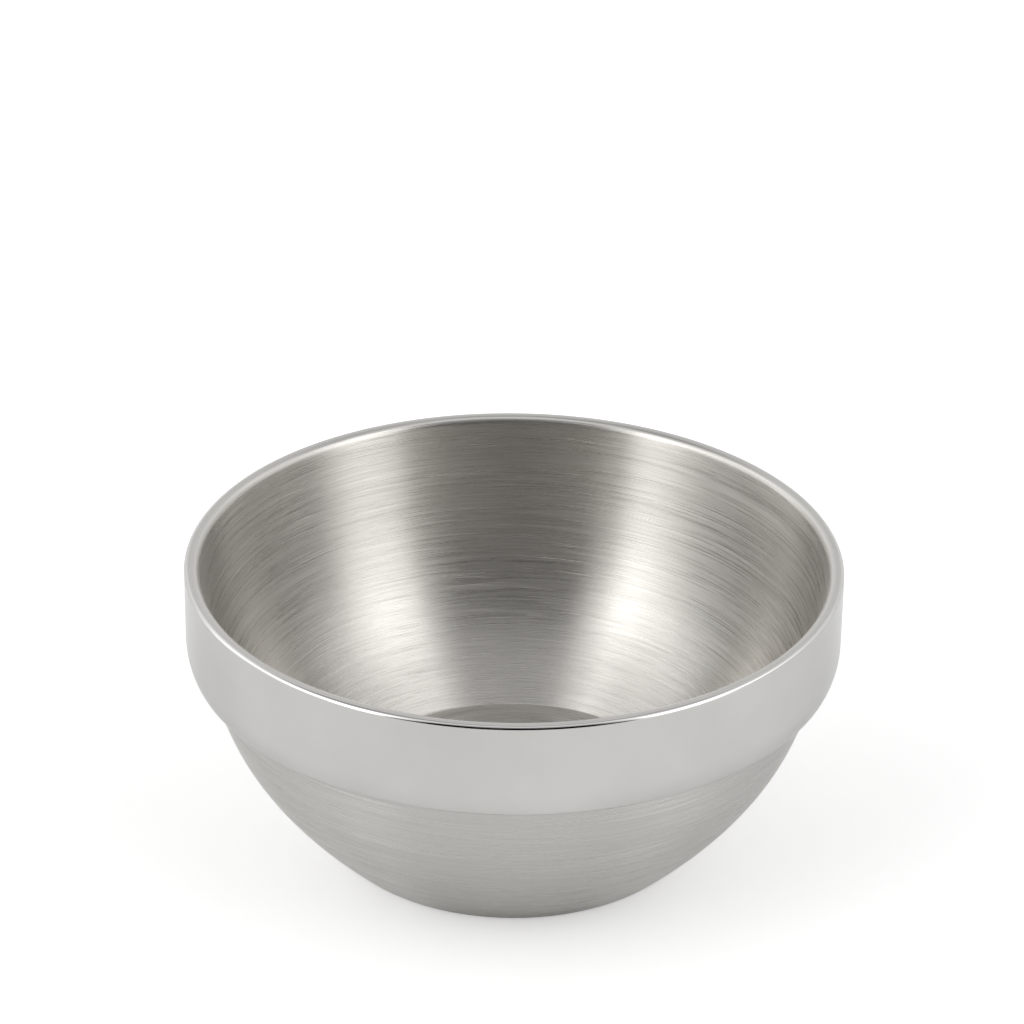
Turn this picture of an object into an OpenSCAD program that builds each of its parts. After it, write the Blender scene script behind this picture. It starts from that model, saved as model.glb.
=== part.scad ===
// Double-walled steel shaving bowl: a drawn outer shell with a polished band, and an inner bowl
// whose turned-out flange closes the top of the shell. Every piece is turned about the Z axis.
// Origin: centre of the foot ring, on the table. All lengths are in millimetres.

/* [Size] */
// Outer diameter, across the polished band
bowl_d = 120; // [105:1:140]
// Height from the table to the top of the rim
bowl_h = 55.5; // [50:0.5:65]
// Thickness of the drawn steel sheet
sheet_t = 0.7; // [0.5:0.05:0.9]

/* [Polished band] */
// Straight height of the band below the rim
band_h = 14.1; // [10:0.1:18]
// Large radius where the band starts to turn under
shoulder_r = 9; // [6:0.5:12]
// Angle that the large radius turns through
shoulder_turn = 22; // [12:1:28]
// Small radius that finishes the turn under the band
shoulder_edge_r = 1.6; // [1.2:0.1:2]
// Distance from the band's face in to the lower bowl
shoulder_inset = 3.75; // [3.5:0.05:5]
// Radius of the crease where the lower bowl starts
crease_r = 0.8; // [0.5:0.1:1]

/* [Lower bowl] */
// Angle of the wall from vertical, just under the band
wall_top_angle = 12; // [5:1:20]
// Length over which the wall keeps its top angle
wall_top_hold = 12; // [8:1:18]
// Angle of the wall from vertical, at the foot
wall_foot_angle = 46; // [35:1:52]
// Length over which the wall keeps its foot angle
wall_foot_hold = 21; // [14:1:24]

/* [Foot] */
// Outer diameter of the flat ring that touches the table
foot_d = 67.4; // [60:0.2:74]
// Width of the flat ring
foot_w = 1.4; // [1:0.1:2.5]
// Radius of the ring's two rounded edges
foot_edge_r = 1.2; // [1:0.1:1.5]
// Depth of the recess inside the ring
recess_h = 1.4; // [1.3:0.1:2.5]

/* [Rim] */
// Width of the rim, from the band's face to the inner wall
rim_w = 2.75; // [2.4:0.05:4]
// Radius where the rim turns down into the inner wall
rim_edge_r = 1.5; // [1:0.1:1.7]

/* [Inside] */
// Diameter of the flat floor
floor_d = 61.8; // [50:0.2:64]
// Height of the floor above the table
floor_z = 6.6; // [5:0.1:9]
// Radius between the floor and the wall
floor_edge_r = 0.6; // [0.5:0.1:3]
// Angle of the inner wall from vertical, at the rim
inner_top_angle = 9; // [4:1:14]
// Length over which the inner wall keeps its top angle
inner_top_hold = 32; // [24:1:34]
// Angle of the inner wall from vertical, at the floor
inner_floor_angle = 50; // [40:1:54]
// Length over which the inner wall keeps its floor angle
inner_floor_hold = 15; // [10:1:18]

/* [Vent plug] */
// Diameter of the vent hole in the middle of the base
vent_d = 4; // [3:0.5:5]
// Diameter of the plug's head
plug_head_d = 7; // [6:0.5:9]
// Thickness of the plug's head
plug_head_h = 0.5; // [0.4:0.1:0.8]

/* [Smoothness] */
// Straight steps along each long wall curve
curve_steps = 20; // [12:1:32]
// Straight steps around each small radius
edge_steps = 5; // [4:1:8]

/* [Hidden] */
$fn = 96;

bowl_r = bowl_d / 2;
band_end_z = bowl_h - band_h;
// The slope at the inside of the foot ring leans this far up from the table
recess_slope = 60;
// The plug's shank ends this far above the base sheet
plug_tail = 0.4;
// Chamfer around the plug's head and tail
plug_chamfer = 0.2;

// Directions and angles: 0 points outward along the radius, 90 points up.

// Points around an arc from angle a0 to angle a1, leaving out the points before number first
function arc(centre, r, a0, a1, first = 0) = [
    for (i = [first:edge_steps])
        let (a = a0 + (a1 - a0) * i / edge_steps)
        centre + r * [cos(a), sin(a)]
];

// Points along a cubic curve, without its two ends
function bezier(p0, p1, p2, p3) = [
    for (i = [1:curve_steps - 1])
        let (t = i / curve_steps, s = 1 - t)
        s * s * s * p0 + 3 * s * s * t * p1 + 3 * s * t * t * p2 + t * t * t * p3
];

// A wall curve that leaves p0 downward at top_angle from vertical, and reaches p1 at foot_angle
function wall(p0, top_angle, top_hold, p1, foot_angle, foot_hold) = bezier(
    p0,
    p0 - top_hold * [sin(top_angle), cos(top_angle)],
    p1 + foot_hold * [sin(foot_angle), cos(foot_angle)],
    p1
);

// Unit vector square to the curve at point i, to the right of the way it runs
function side(pts, i) =
    let (
        before = pts[max(i - 1, 0)],
        after = pts[min(i + 1, len(pts) - 1)],
        along = (after - before) / norm(after - before)
    )
    [along[1], -along[0]];

// The closed outline of a sheet: one face is the curve pts, and the other lies t to its right
function sheet(pts, t) = concat(
    pts,
    [for (i = [len(pts) - 1:-1:0]) pts[i] + t * side(pts, i)]
);

function last(pts) = pts[len(pts) - 1];

// Outside of the outer shell, from the top of the band down and in to the vent hole
shoulder_c = [bowl_r - shoulder_r, band_end_z];
shoulder_bend = arc(shoulder_c, shoulder_r, 0, -shoulder_turn);
shoulder_edge_c = last(shoulder_bend)
    - shoulder_edge_r * [cos(shoulder_turn), -sin(shoulder_turn)];
shoulder_edge = arc(shoulder_edge_c, shoulder_edge_r, -shoulder_turn, -90, 1);
crease_c = [
    bowl_r - shoulder_inset + crease_r * cos(wall_top_angle),
    last(shoulder_edge)[1] - crease_r
];
crease = arc(crease_c, crease_r, 90, 180 - wall_top_angle);
foot_outer_c = [foot_d / 2, foot_edge_r];
foot_outer = arc(foot_outer_c, foot_edge_r, -wall_foot_angle, -90);
lower_wall = wall(
    last(crease), wall_top_angle, wall_top_hold,
    foot_outer[0], wall_foot_angle, wall_foot_hold
);
foot_inner_c = [foot_d / 2 - foot_w, foot_edge_r];
foot_inner = arc(foot_inner_c, foot_edge_r, -90, -90 - recess_slope);
recess_rise = recess_h - (foot_edge_r + crease_r) * (1 - cos(recess_slope));
recess_top = last(foot_inner) + recess_rise / tan(recess_slope) * [-1, tan(recess_slope)];
recess_c = recess_top - crease_r * [sin(recess_slope), cos(recess_slope)];
recess = arc(recess_c, crease_r, 90 - recess_slope, 90);
shell_outside = concat(
    [[bowl_r, bowl_h - sheet_t]],
    shoulder_bend, shoulder_edge, crease, lower_wall,
    foot_outer, foot_inner, recess,
    [[vent_d / 2, recess_h]]
);

// Inside of the inner bowl, from the middle of the floor out and up to the end of the flange
floor_c = [floor_d / 2, floor_z + floor_edge_r];
floor_edge = arc(floor_c, floor_edge_r, -inner_floor_angle, -90);
rim_c = [bowl_r - rim_w + rim_edge_r, bowl_h - rim_edge_r];
rim_edge = arc(rim_c, rim_edge_r, 90, 180 - inner_top_angle);
inner_wall = wall(
    last(rim_edge), inner_top_angle, inner_top_hold,
    floor_edge[0], inner_floor_angle, inner_floor_hold
);
bowl_inside = concat(
    [[bowl_r - sheet_t, bowl_h]],
    rim_edge, inner_wall, floor_edge,
    [[0, floor_z]]
);

// Drawn outer shell: polished band, shoulder, brushed lower bowl and recessed base
module outer_shell() {
    color("#b4b5b3")
        rotate_extrude()
            polygon(sheet(shell_outside, sheet_t));
}

// Drawn inner bowl: flat floor, brushed wall and the turned-out flange that is the rim
module inner_bowl() {
    color("#9d9b95")
        rotate_extrude()
            polygon(sheet(bowl_inside, -sheet_t));
}

// Weld that fills the corner between the flange's edge and the shell's top edge, ground round
module rim_weld() {
    corner = [bowl_r - sheet_t, bowl_h - sheet_t];
    color("#d2d3d1")
        rotate_extrude()
            polygon(concat([corner], arc(corner, sheet_t, 0, 90)));
}

// Plug pressed into the vent hole after welding, with its head inside the recess
module vent_plug() {
    head_z = recess_h - plug_head_h;
    tail_z = recess_h + sheet_t + plug_tail;
    head_r = plug_head_d / 2;
    shank_r = vent_d / 2;
    color("#8f9090")
        rotate_extrude()
            polygon([
                [0, head_z],
                [head_r - plug_chamfer, head_z],
                [head_r, head_z + plug_chamfer],
                [head_r, recess_h],
                [shank_r, recess_h],
                [shank_r, tail_z - plug_chamfer],
                [shank_r - plug_chamfer, tail_z],
                [0, tail_z]
            ]);
}

outer_shell();
inner_bowl();
rim_weld();
vent_plug();
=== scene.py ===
import math

import bmesh
import bpy
from mathutils import Matrix, Vector


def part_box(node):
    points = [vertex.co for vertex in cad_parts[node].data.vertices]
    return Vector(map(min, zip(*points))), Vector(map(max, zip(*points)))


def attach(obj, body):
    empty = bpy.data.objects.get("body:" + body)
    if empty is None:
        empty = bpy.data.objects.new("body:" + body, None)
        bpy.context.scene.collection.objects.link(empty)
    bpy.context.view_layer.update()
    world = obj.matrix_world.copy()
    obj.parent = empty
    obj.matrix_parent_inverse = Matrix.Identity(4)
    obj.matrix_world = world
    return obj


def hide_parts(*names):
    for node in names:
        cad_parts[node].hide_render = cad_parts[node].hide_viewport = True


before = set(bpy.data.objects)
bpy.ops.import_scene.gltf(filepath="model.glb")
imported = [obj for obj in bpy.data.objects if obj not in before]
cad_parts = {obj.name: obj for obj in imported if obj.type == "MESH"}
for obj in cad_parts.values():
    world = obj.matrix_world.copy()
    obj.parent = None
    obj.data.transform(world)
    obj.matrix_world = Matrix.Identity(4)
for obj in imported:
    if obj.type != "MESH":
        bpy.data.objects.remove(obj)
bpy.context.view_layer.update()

# A double-walled steel shaving bowl. Every piece is turned about the Z axis from an outline of
# (radius, height) points, which are in millimetres here and in metres in the meshes.

MM = 0.001
SEGMENTS = 288          # faces round the axis
PLUG_SEGMENTS = 96      # the same for the small plug
TABLE_SEGMENTS = 96     # and for the table
ARC_STEPS = 12          # along each small radius
WALL_STEPS = 56         # along each long wall curve
FLOOR_STEPS = 8         # across the flat floor
ON_AXIS = 1e-6          # a point nearer the axis than this is on it
SHARP_ANGLE = math.radians(28)

# Outline of the bowl, as in the CAD
SHEET_T = 0.7
BAND_H = 14.1
SHOULDER_R, SHOULDER_TURN, SHOULDER_EDGE_R, SHOULDER_INSET = 9.0, 22.0, 1.6, 3.75
CREASE_R = 0.8
WALL_TOP_ANGLE, WALL_TOP_HOLD = 12.0, 12.0
WALL_FOOT_ANGLE, WALL_FOOT_HOLD = 46.0, 21.0
FOOT_R, FOOT_W, FOOT_EDGE_R = 33.7, 1.4, 1.2
RECESS_H, RECESS_SLOPE = 1.4, 60.0
RIM_W, RIM_EDGE_R = 2.75, 1.5
FLOOR_R, FLOOR_Z, FLOOR_EDGE_R = 30.9, 6.6, 0.6
INNER_TOP_ANGLE, INNER_TOP_HOLD = 9.0, 32.0
INNER_FLOOR_ANGLE, INNER_FLOOR_HOLD = 50.0, 15.0
VENT_R = 2.0
PLUG_HEAD_R, PLUG_HEAD_H, PLUG_TAIL, PLUG_CHAMFER = 3.5, 0.5, 0.4, 0.2

shell_low, shell_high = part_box("outer_shell")
bowl_r = min(shell_high.x, shell_high.y, -shell_low.x, -shell_low.y) / MM
bowl_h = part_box("inner_bowl")[1].z / MM


# ---------------------------------------------------------------- outlines

def at_angle(degrees):
    """Unit vector in the outline's plane: 0 points outward along the radius, 90 points up."""
    return Vector((math.cos(math.radians(degrees)), math.sin(math.radians(degrees))))


def arc(centre, radius, start, end, first=0):
    step = (end - start) / ARC_STEPS
    return [centre + radius * at_angle(start + step * i) for i in range(first, ARC_STEPS + 1)]


def wall(top, top_angle, top_hold, foot, foot_angle, foot_hold):
    """Cubic curve from top down to foot, without its two ends. Angles are from vertical."""
    a = top - top_hold * at_angle(90 - top_angle)
    b = foot + foot_hold * at_angle(90 - foot_angle)
    points = []
    for i in range(1, WALL_STEPS):
        t = i / WALL_STEPS
        s = 1 - t
        points.append(s * s * s * top + 3 * s * s * t * a + 3 * s * t * t * b + t * t * t * foot)
    return points


def sheet(points, thickness):
    """Closed outline of a sheet: one face is the curve, the other lies to its right."""
    other = []
    for i, point in enumerate(points):
        along = (points[min(i + 1, len(points) - 1)] - points[max(i - 1, 0)]).normalized()
        other.append(point + thickness * Vector((along.y, -along.x)))
    return points + other[::-1]


def outer_outline():
    """The shell's outline, and how many of its points from the top are on the polished band."""
    centre = Vector((bowl_r - SHOULDER_R, bowl_h - BAND_H))
    band = [Vector((bowl_r, bowl_h - SHEET_T))] + arc(centre, SHOULDER_R, 0, -SHOULDER_TURN)
    centre = band[-1] - SHOULDER_EDGE_R * at_angle(-SHOULDER_TURN)
    band += arc(centre, SHOULDER_EDGE_R, -SHOULDER_TURN, -90, 1)
    across = CREASE_R * math.cos(math.radians(WALL_TOP_ANGLE))
    centre = Vector((bowl_r - SHOULDER_INSET + across, band[-1].y - CREASE_R))
    crease = arc(centre, CREASE_R, 90, 180 - WALL_TOP_ANGLE)
    foot = arc(Vector((FOOT_R, FOOT_EDGE_R)), FOOT_EDGE_R, -WALL_FOOT_ANGLE, -90)
    lower = wall(crease[-1], WALL_TOP_ANGLE, WALL_TOP_HOLD,
                 foot[0], WALL_FOOT_ANGLE, WALL_FOOT_HOLD)
    centre = Vector((FOOT_R - FOOT_W, FOOT_EDGE_R))
    foot += arc(centre, FOOT_EDGE_R, -90, -90 - RECESS_SLOPE)
    slope = math.radians(RECESS_SLOPE)
    rise = RECESS_H - (FOOT_EDGE_R + CREASE_R) * (1 - math.cos(slope))
    top = foot[-1] + rise / math.tan(slope) * Vector((-1, math.tan(slope)))
    centre = top - CREASE_R * Vector((math.sin(slope), math.cos(slope)))
    recess = arc(centre, CREASE_R, 90 - RECESS_SLOPE, 90)
    points = band + crease + lower + foot + recess + [Vector((VENT_R, RECESS_H))]
    return sheet(points, SHEET_T), len(band) - 1


def inner_outline():
    """The inner bowl's outline, and how many of its points from the edge are on the flat rim."""
    flange = [Vector((bowl_r - SHEET_T, bowl_h))]
    centre = Vector((bowl_r - RIM_W + RIM_EDGE_R, bowl_h - RIM_EDGE_R))
    edge = arc(centre, RIM_EDGE_R, 90, 180 - INNER_TOP_ANGLE)
    foot = arc(Vector((FLOOR_R, FLOOR_Z + FLOOR_EDGE_R)), FLOOR_EDGE_R, -INNER_FLOOR_ANGLE, -90)
    side = wall(edge[-1], INNER_TOP_ANGLE, INNER_TOP_HOLD,
                foot[0], INNER_FLOOR_ANGLE, INNER_FLOOR_HOLD)
    flat = [Vector((FLOOR_R * i / FLOOR_STEPS, FLOOR_Z)) for i in range(FLOOR_STEPS - 1, -1, -1)]
    return sheet(flange + edge + side + foot + flat, -SHEET_T), 1 + ARC_STEPS // 2


def weld_outline():
    """A quarter round that fills the corner between the flange's edge and the shell's edge."""
    corner = Vector((bowl_r - SHEET_T, bowl_h - SHEET_T))
    return [corner] + arc(corner, SHEET_T, 0, 90)


def plug_outline():
    """A head inside the recess, and a shank through the base."""
    head_z = RECESS_H - PLUG_HEAD_H
    tail_z = RECESS_H + SHEET_T + PLUG_TAIL
    rough = [
        (0, head_z), (PLUG_HEAD_R - PLUG_CHAMFER, head_z), (PLUG_HEAD_R, head_z + PLUG_CHAMFER),
        (PLUG_HEAD_R, RECESS_H), (VENT_R, RECESS_H), (VENT_R, tail_z - PLUG_CHAMFER),
        (VENT_R - PLUG_CHAMFER, tail_z), (0, tail_z),
    ]
    return [Vector(p) for p in rough]


# ---------------------------------------------------------------- meshes

def turned(name, outline, materials, material_of=lambda i: 0, segments=SEGMENTS):
    """A closed mesh turned about Z from a closed outline. Points on the axis become one vertex."""
    bm = bmesh.new()
    rings = []
    for point in outline:
        if point.x < ON_AXIS:
            rings.append([bm.verts.new((0, 0, point.y * MM))] * segments)
            continue
        ring = []
        for j in range(segments):
            turn = 2 * math.pi * j / segments
            ring.append(bm.verts.new(
                (point.x * MM * math.cos(turn), point.x * MM * math.sin(turn), point.y * MM)))
        rings.append(ring)
    for i, low in enumerate(rings):
        high = rings[(i + 1) % len(rings)]
        if low[0] is low[1] and high[0] is high[1]:
            continue
        for j in range(segments):
            k = (j + 1) % segments
            corners = list(dict.fromkeys((low[j], low[k], high[k], high[j])))
            face = bm.faces.new(corners)
            face.material_index = material_of(i)
            face.smooth = True
    bmesh.ops.recalc_face_normals(bm, faces=bm.faces)
    mesh = bpy.data.meshes.new(name)
    bm.to_mesh(mesh)
    bm.free()
    mesh.set_sharp_from_angle(angle=SHARP_ANGLE)
    for material in materials:
        mesh.materials.append(material)
    piece = bpy.data.objects.new(name, mesh)
    bpy.context.scene.collection.objects.link(piece)
    return piece


# ---------------------------------------------------------------- materials

class Graph:
    """Short ways to add nodes to a material or world."""

    def __init__(self, owner):
        owner.use_nodes = True
        self.tree = owner.node_tree
        self.tree.nodes.clear()

    def feed(self, socket, value):
        if isinstance(value, bpy.types.NodeSocket):
            self.tree.links.new(value, socket)
        else:
            socket.default_value = value

    def add(self, kind, inputs=None, **settings):
        node = self.tree.nodes.new(kind)
        for key, value in settings.items():
            setattr(node, key, value)
        for key, value in (inputs or {}).items():
            self.feed(node.inputs[key], value)
        return node

    def maths(self, operation, *values, clamp=False):
        node = self.add("ShaderNodeMath", dict(enumerate(values)), operation=operation)
        node.use_clamp = clamp
        return node.outputs[0]

    def vector(self, x, y, z):
        return self.add("ShaderNodeCombineXYZ", {0: x, 1: y, 2: z}).outputs[0]

    def noise(self, vector, scale=1.0, detail=2.0, roughness=0.5):
        node = self.add("ShaderNodeTexNoise", {
            "Vector": vector, "Scale": scale, "Detail": detail, "Roughness": roughness})
        return node.outputs[0]

    def remap(self, value, low, high, to_low=0.0, to_high=1.0, smooth=False):
        node = self.add("ShaderNodeMapRange", {
            "Value": value, "From Min": low, "From Max": high, "To Min": to_low, "To Max": to_high})
        node.interpolation_type = "SMOOTHSTEP" if smooth else "LINEAR"
        return node.outputs[0]

    def mix(self, share, a, b):
        node = self.add("ShaderNodeMix", data_type="RGBA")
        self.feed(node.inputs[0], share)
        self.feed(node.inputs[6], a)
        self.feed(node.inputs[7], b)
        return node.outputs[2]

    def total(self, *values):
        out = values[0]
        for value in values[1:]:
            out = self.maths("ADD", out, value)
        return out


class Turned:
    """Coordinates that follow a turned surface: round the axis, and across the turning lines."""

    def __init__(self, graph):
        self.graph = graph
        self.place = graph.add("ShaderNodeTexCoord").outputs["Object"]
        split = graph.add("ShaderNodeSeparateXYZ", {0: self.place})
        x, y, z = split.outputs
        radius = graph.maths("SQRT", graph.maths(
            "ADD", graph.maths("MULTIPLY", x, x), graph.maths("MULTIPLY", y, y)))
        self.x = graph.maths("DIVIDE", x, radius)
        self.y = graph.maths("DIVIDE", y, radius)
        self.across = graph.maths("ADD", radius, z)

    def lines(self, per_turn, width, seed, slant=0.0, detail=1.0):
        """Noise drawn out round the axis. per_turn sets how short its lines are, width is in
        metres, and slant is how far they stray across in a quarter turn, in metres."""
        g = self.graph
        across = g.total(
            self.across, g.maths("MULTIPLY", self.x, slant), g.maths("MULTIPLY", self.y, slant))
        vector = g.vector(
            g.maths("MULTIPLY_ADD", self.x, per_turn, seed),
            g.maths("MULTIPLY", self.y, per_turn),
            g.maths("DIVIDE", across, width),
        )
        return g.noise(vector, 1.0, detail)


def brushed_steel(name, tint, roughness, anisotropy, contrast, groove, length=1.0):
    """Steel brushed round the axis: hairlines that stray a little across it, longer and broader
    strokes, a few light scratches and soft unevenness. contrast is the share that the tone varies
    by, groove the depth of the lines in metres, and length makes every line longer or shorter."""
    material = bpy.data.materials.new(name)
    g = Graph(material)
    on = Turned(g)
    hair = on.lines(4 / length, 0.00014, 3.1, 0.0015, 0)
    fine = on.lines(2.5 / length, 0.0002, 11.7, -0.001)
    long = on.lines(1.2 / length, 0.0003, 23.9)
    broad = on.lines(0.9 / length, 0.0022, 31.3)
    scratch = g.remap(on.lines(3 / length, 0.0002, 41.3, 0.0015, 0), 0.70, 0.76)
    cloud = g.noise(on.place, 45.0, 3.0, 0.6)

    tone = g.total(
        g.maths("MULTIPLY", hair, 0.30), g.maths("MULTIPLY", fine, 0.36),
        g.maths("MULTIPLY", long, 0.20), g.maths("MULTIPLY", broad, 0.06),
        g.maths("MULTIPLY", cloud, 0.08),
    )
    dark = tuple(c * (1 - contrast) for c in tint) + (1,)
    light = tuple(min(1, c * (1 + contrast)) for c in tint) + (1,)
    colour = g.mix(g.remap(tone, 0.38, 0.62), dark, light)
    colour = g.mix(g.maths("MULTIPLY", scratch, 0.5), colour, light)

    rough = g.total(
        g.maths("MULTIPLY_ADD", fine, 0.16, roughness - 0.08),
        g.maths("MULTIPLY_ADD", long, 0.10, -0.05),
        g.maths("MULTIPLY_ADD", broad, 0.04, -0.02),
        g.maths("MULTIPLY_ADD", cloud, 0.06, -0.03),
        g.maths("MULTIPLY", scratch, 0.05),
    )
    height = g.total(
        g.maths("MULTIPLY", hair, 0.6), fine, g.maths("MULTIPLY", long, 0.5),
        g.maths("MULTIPLY", broad, 0.2), g.maths("MULTIPLY", scratch, -0.5),
    )
    bump = g.add("ShaderNodeBump", {"Strength": 1.0, "Distance": groove, "Height": height})
    shader = g.add("ShaderNodeBsdfPrincipled", {
        "Base Color": colour, "Metallic": 1.0, "Roughness": rough,
        "Anisotropic": anisotropy, "Anisotropic Rotation": 0.25,
        "Normal": bump.outputs[0],
        "Tangent": g.add("ShaderNodeTangent", direction_type="RADIAL", axis="Z").outputs[0],
    })
    g.add("ShaderNodeOutputMaterial", {"Surface": shader.outputs[0]})
    return material


def polished_steel(name, tint, roughness, wave=2e-6):
    """Mirror-polished steel, with the slight ripple of drawn sheet and hairline handling marks."""
    material = bpy.data.materials.new(name)
    g = Graph(material)
    on = Turned(g)
    ripple = on.lines(1.3, 0.004, 5.3)
    hair = on.lines(2.5, 0.0003, 17.9)
    cloud = g.noise(on.place, 40.0, 3.0, 0.55)
    spots = g.remap(g.noise(on.place, 900.0, 1.0), 0.72, 0.8)

    dark = tuple(c * 0.94 for c in tint) + (1,)
    light = tuple(min(1, c * 1.04) for c in tint) + (1,)
    colour = g.mix(g.remap(cloud, 0.3, 0.7), dark, light)
    rough = g.total(
        g.maths("MULTIPLY_ADD", cloud, 0.05, roughness - 0.025),
        g.maths("MULTIPLY", g.remap(hair, 0.55, 0.75), 0.05),
        g.maths("MULTIPLY", spots, 0.05),
    )
    height = g.total(ripple, g.maths("MULTIPLY", hair, 0.08), g.maths("MULTIPLY", cloud, 0.8))
    bump = g.add("ShaderNodeBump", {"Strength": 1.0, "Distance": wave, "Height": height})
    shader = g.add("ShaderNodeBsdfPrincipled", {
        "Base Color": colour, "Metallic": 1.0, "Roughness": rough, "Normal": bump.outputs[0]})
    g.add("ShaderNodeOutputMaterial", {"Surface": shader.outputs[0]})
    return material


POLISHED_TINT = (0.68, 0.673, 0.655)

steel_inside = brushed_steel(
    "steel_brushed_inside", (0.62, 0.603, 0.573),
    roughness=0.29, anisotropy=1.0, contrast=0.14, groove=2e-5)
steel_rim = brushed_steel(
    "steel_satin_rim", (0.62, 0.609, 0.588),
    roughness=0.30, anisotropy=0.2, contrast=0.04, groove=3e-6)
steel_band = polished_steel("steel_polished_band", POLISHED_TINT, roughness=0.09)
steel_outside = brushed_steel(
    "steel_brushed_outside", (0.643, 0.632, 0.608),
    roughness=0.25, anisotropy=1.0, contrast=0.1, groove=1.5e-5, length=1.4)
steel_weld = polished_steel("steel_polished_weld", POLISHED_TINT, roughness=0.12)
steel_plug = brushed_steel(
    "steel_turned_plug", (0.585, 0.573, 0.55),
    roughness=0.30, anisotropy=0.7, contrast=0.06, groove=1e-5)

outline, band_points = outer_outline()
outer_shell = turned("shell_drawn", outline, [steel_outside, steel_band],
                     lambda i: 1 if i < band_points else 0)
outline, rim_points = inner_outline()
inner_bowl = turned("bowl_inner", outline, [steel_inside, steel_rim],
                    lambda i: 1 if i < rim_points else 0)
rim_weld = turned("rim_seam", weld_outline(), [steel_weld])
vent_plug = turned("base_plug", plug_outline(), [steel_plug], segments=PLUG_SEGMENTS)

for piece, node in ((outer_shell, "outer_shell"), (inner_bowl, "inner_bowl"),
                    (rim_weld, "rim_weld"), (vent_plug, "vent_plug")):
    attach(piece, "root")
    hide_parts(node)


# ---------------------------------------------------------------- floor, light and camera

TABLE_RADII = (FOOT_R - 0.5 * FOOT_W, 60, 120, 400, 4000)
TABLE_DARK, TABLE_LIGHT = (0.84, 0.84, 0.84, 1), (0.86, 0.86, 0.86, 1)
GLOW = 0.025            # light that the table gives off
WHITENING = 0.335       # brightness added to the table where it is seen directly


def make_floor():
    """Pale table top. It is open under the foot ring, and clear from below, to show the base."""
    material = bpy.data.materials.new("table")
    g = Graph(material)
    grain = g.noise(g.add("ShaderNodeTexCoord").outputs["Object"], 6.0, 2.0)
    matt = g.add("ShaderNodeBsdfDiffuse", {
        "Color": g.mix(grain, TABLE_DARK, TABLE_LIGHT)})
    seen = g.add("ShaderNodeLightPath").outputs["Is Camera Ray"]
    glow = g.add("ShaderNodeEmission", {
        "Color": (1, 1, 1, 1), "Strength": g.maths("MULTIPLY_ADD", seen, WHITENING, GLOW)})
    matt = g.add("ShaderNodeAddShader", {0: matt.outputs[0], 1: glow.outputs[0]})
    clear = g.add("ShaderNodeBsdfTransparent")
    below = g.add("ShaderNodeNewGeometry").outputs["Backfacing"]
    both = g.add("ShaderNodeMixShader", {0: below, 1: matt.outputs[0], 2: clear.outputs[0]})
    g.add("ShaderNodeOutputMaterial", {"Surface": both.outputs[0]})
    turns = [2 * math.pi * j / TABLE_SEGMENTS for j in range(TABLE_SEGMENTS)]
    bm = bmesh.new()
    rings = [[bm.verts.new((r * MM * math.cos(a), r * MM * math.sin(a), 0)) for a in turns]
             for r in TABLE_RADII]
    for low, high in zip(rings, rings[1:]):
        for j in range(TABLE_SEGMENTS):
            k = (j + 1) % TABLE_SEGMENTS
            bm.faces.new((low[j], high[j], high[k], low[k]))
    mesh = bpy.data.meshes.new("table")
    bm.to_mesh(mesh)
    bm.free()
    mesh.materials.append(material)
    floor = bpy.data.objects.new("table", mesh)
    bpy.context.scene.collection.objects.link(floor)


# Brightness of the studio round the bowl, for light that comes from low, from halfway up, from
# high up, and from overhead. Directions are in degrees from the camera's side of the bowl,
# towards the right.
TURNS = [-180, -150, -130, -110, -95, -80, -72, -64, -56, -50, -44, -40, -30, -15, 0, 15, 30, 38,
         42, 46, 52, 60, 70, 80, 95, 110, 130, 150, 180]
LOW = [0.9, 0.9, 0.85, 1.61, 1.0, 1.34, 1.46, 1.54, 2.47, 2.99, 2.03, 0.17, 0.0, 0.0, 0.0, 0.0, 0.0,
       0.0, 0.96, 1.78, 2.28, 2.59, 1.69, 0.7, 0.71, 0.76, 0.87, 0.85, 0.9]
MIDDLE = [0.7, 1.0, 1.27, 1.64, 1.93, 2.27, 2.45, 2.98, 3.51, 2.7, 1.88, 1.35, 0.0, 0.0, 0.0, 0.0,
          0.0, 0.53, 0.8, 1.44, 2.41, 2.49, 2.6, 2.2, 1.61, 1.38, 1.07, 0.88, 0.7]
HIGH = [0.42, 0.35, 0.3, 0.47, 0.6, 0.84, 0.97, 1.12, 1.28, 1.11, 0.94, 0.8, 0.45, 0.4, 0.35, 0.42,
        0.48, 0.48, 0.48, 0.74, 1.13, 1.13, 1.13, 0.99, 0.77, 0.66, 0.52, 0.48, 0.42]
ZENITH = 1.0
BELOW = 0.7
PEAK = 8.0              # the ramps hold levels as shares of this
BACKDROP = 0.97         # brightness past the table, where the camera looks straight at it
# Heights above the horizon, in degrees, over which each level gives way to the next
TO_LOW, TO_MIDDLE, TO_HIGH, TO_ZENITH = (-4, 0), (12, 32), (40, 58), (66, 84)


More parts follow.
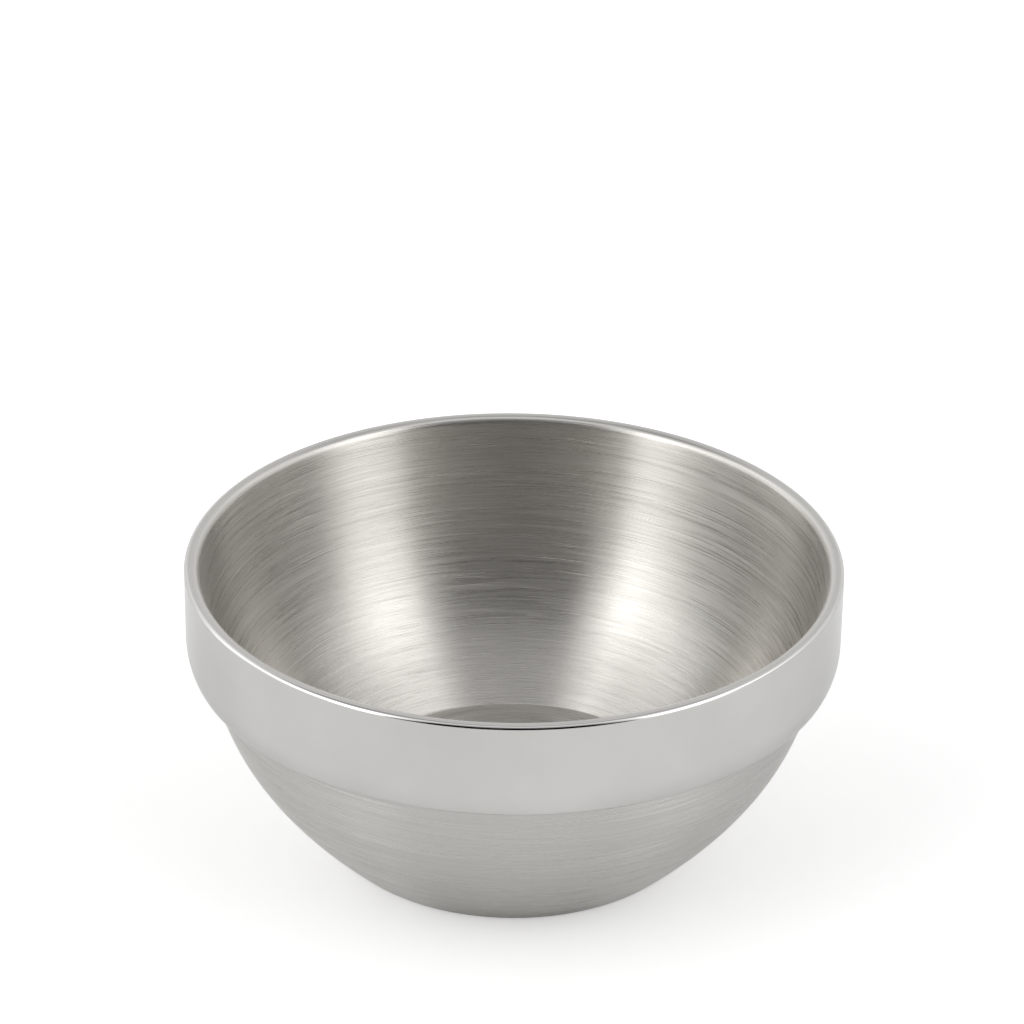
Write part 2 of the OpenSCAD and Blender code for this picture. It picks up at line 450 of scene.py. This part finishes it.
def make_world():
    """Soft studio light all round. Where the camera sees past the table it is plain and pale."""
    world = bpy.data.worlds.new("studio")
    bpy.context.scene.world = world
    g = Graph(world)
    direction = g.add("ShaderNodeTexCoord").outputs["Generated"]
    x, y, z = g.add("ShaderNodeSeparateXYZ", {0: direction}).outputs
    turn = g.maths("ARCTAN2", x, g.maths("MULTIPLY", y, -1.0))
    share = g.maths("MULTIPLY_ADD", turn, 0.5 / math.pi, 0.5)

    def ring(levels):
        node = g.add("ShaderNodeValToRGB", {0: share})
        stops = node.color_ramp.elements
        while len(stops) < len(TURNS):
            stops.new(0.5)
        for stop, degrees, level in zip(stops, TURNS, levels):
            stop.position = degrees / 360 + 0.5
            stop.color = (level / PEAK,) * 3 + (1,)
        return g.maths("MULTIPLY", node.outputs[0], PEAK)

    up = g.maths("ARCSINE", z)

    def between(heights, a, b):
        start, end = (math.radians(height) for height in heights)
        amount = g.remap(up, start, end, smooth=True)
        return g.add("ShaderNodeMix", {0: amount, 2: a, 3: b}).outputs[0]

    light = between(TO_LOW, BELOW, ring(LOW))
    light = between(TO_MIDDLE, light, ring(MIDDLE))
    light = between(TO_HIGH, light, ring(HIGH))
    light = between(TO_ZENITH, light, ZENITH)
    seen = g.add("ShaderNodeLightPath").outputs["Is Camera Ray"]
    light = g.add("ShaderNodeMix", {0: seen, 2: light, 3: BACKDROP}).outputs[0]
    shine = g.add("ShaderNodeBackground", {"Color": light, "Strength": 1.0})
    g.add("ShaderNodeOutputWorld", {"Surface": shine.outputs[0]})


CAMERA_SENSOR, CAMERA_LENS = 36.0, 145.2
CAMERA_AT = Vector((0.0, -0.6607, 0.41387))
CAMERA_AIM = Vector((-0.0005, 0.0, 0.0651))
CAMERA_ROLL = 0.0108


def make_camera():
    data = bpy.data.cameras.new("camera")
    data.sensor_width = CAMERA_SENSOR
    data.lens = CAMERA_LENS
    camera = bpy.data.objects.new("camera", data)
    bpy.context.scene.collection.objects.link(camera)
    turn = (CAMERA_AIM - CAMERA_AT).to_track_quat("-Z", "Y").to_matrix().to_4x4()
    roll = Matrix.Rotation(CAMERA_ROLL, 4, "Z")
    camera.matrix_world = Matrix.Translation(CAMERA_AT) @ turn @ roll
    bpy.context.scene.camera = camera


make_floor()
make_world()
make_camera()
bpy.context.scene.view_settings.view_transform = "Standard"
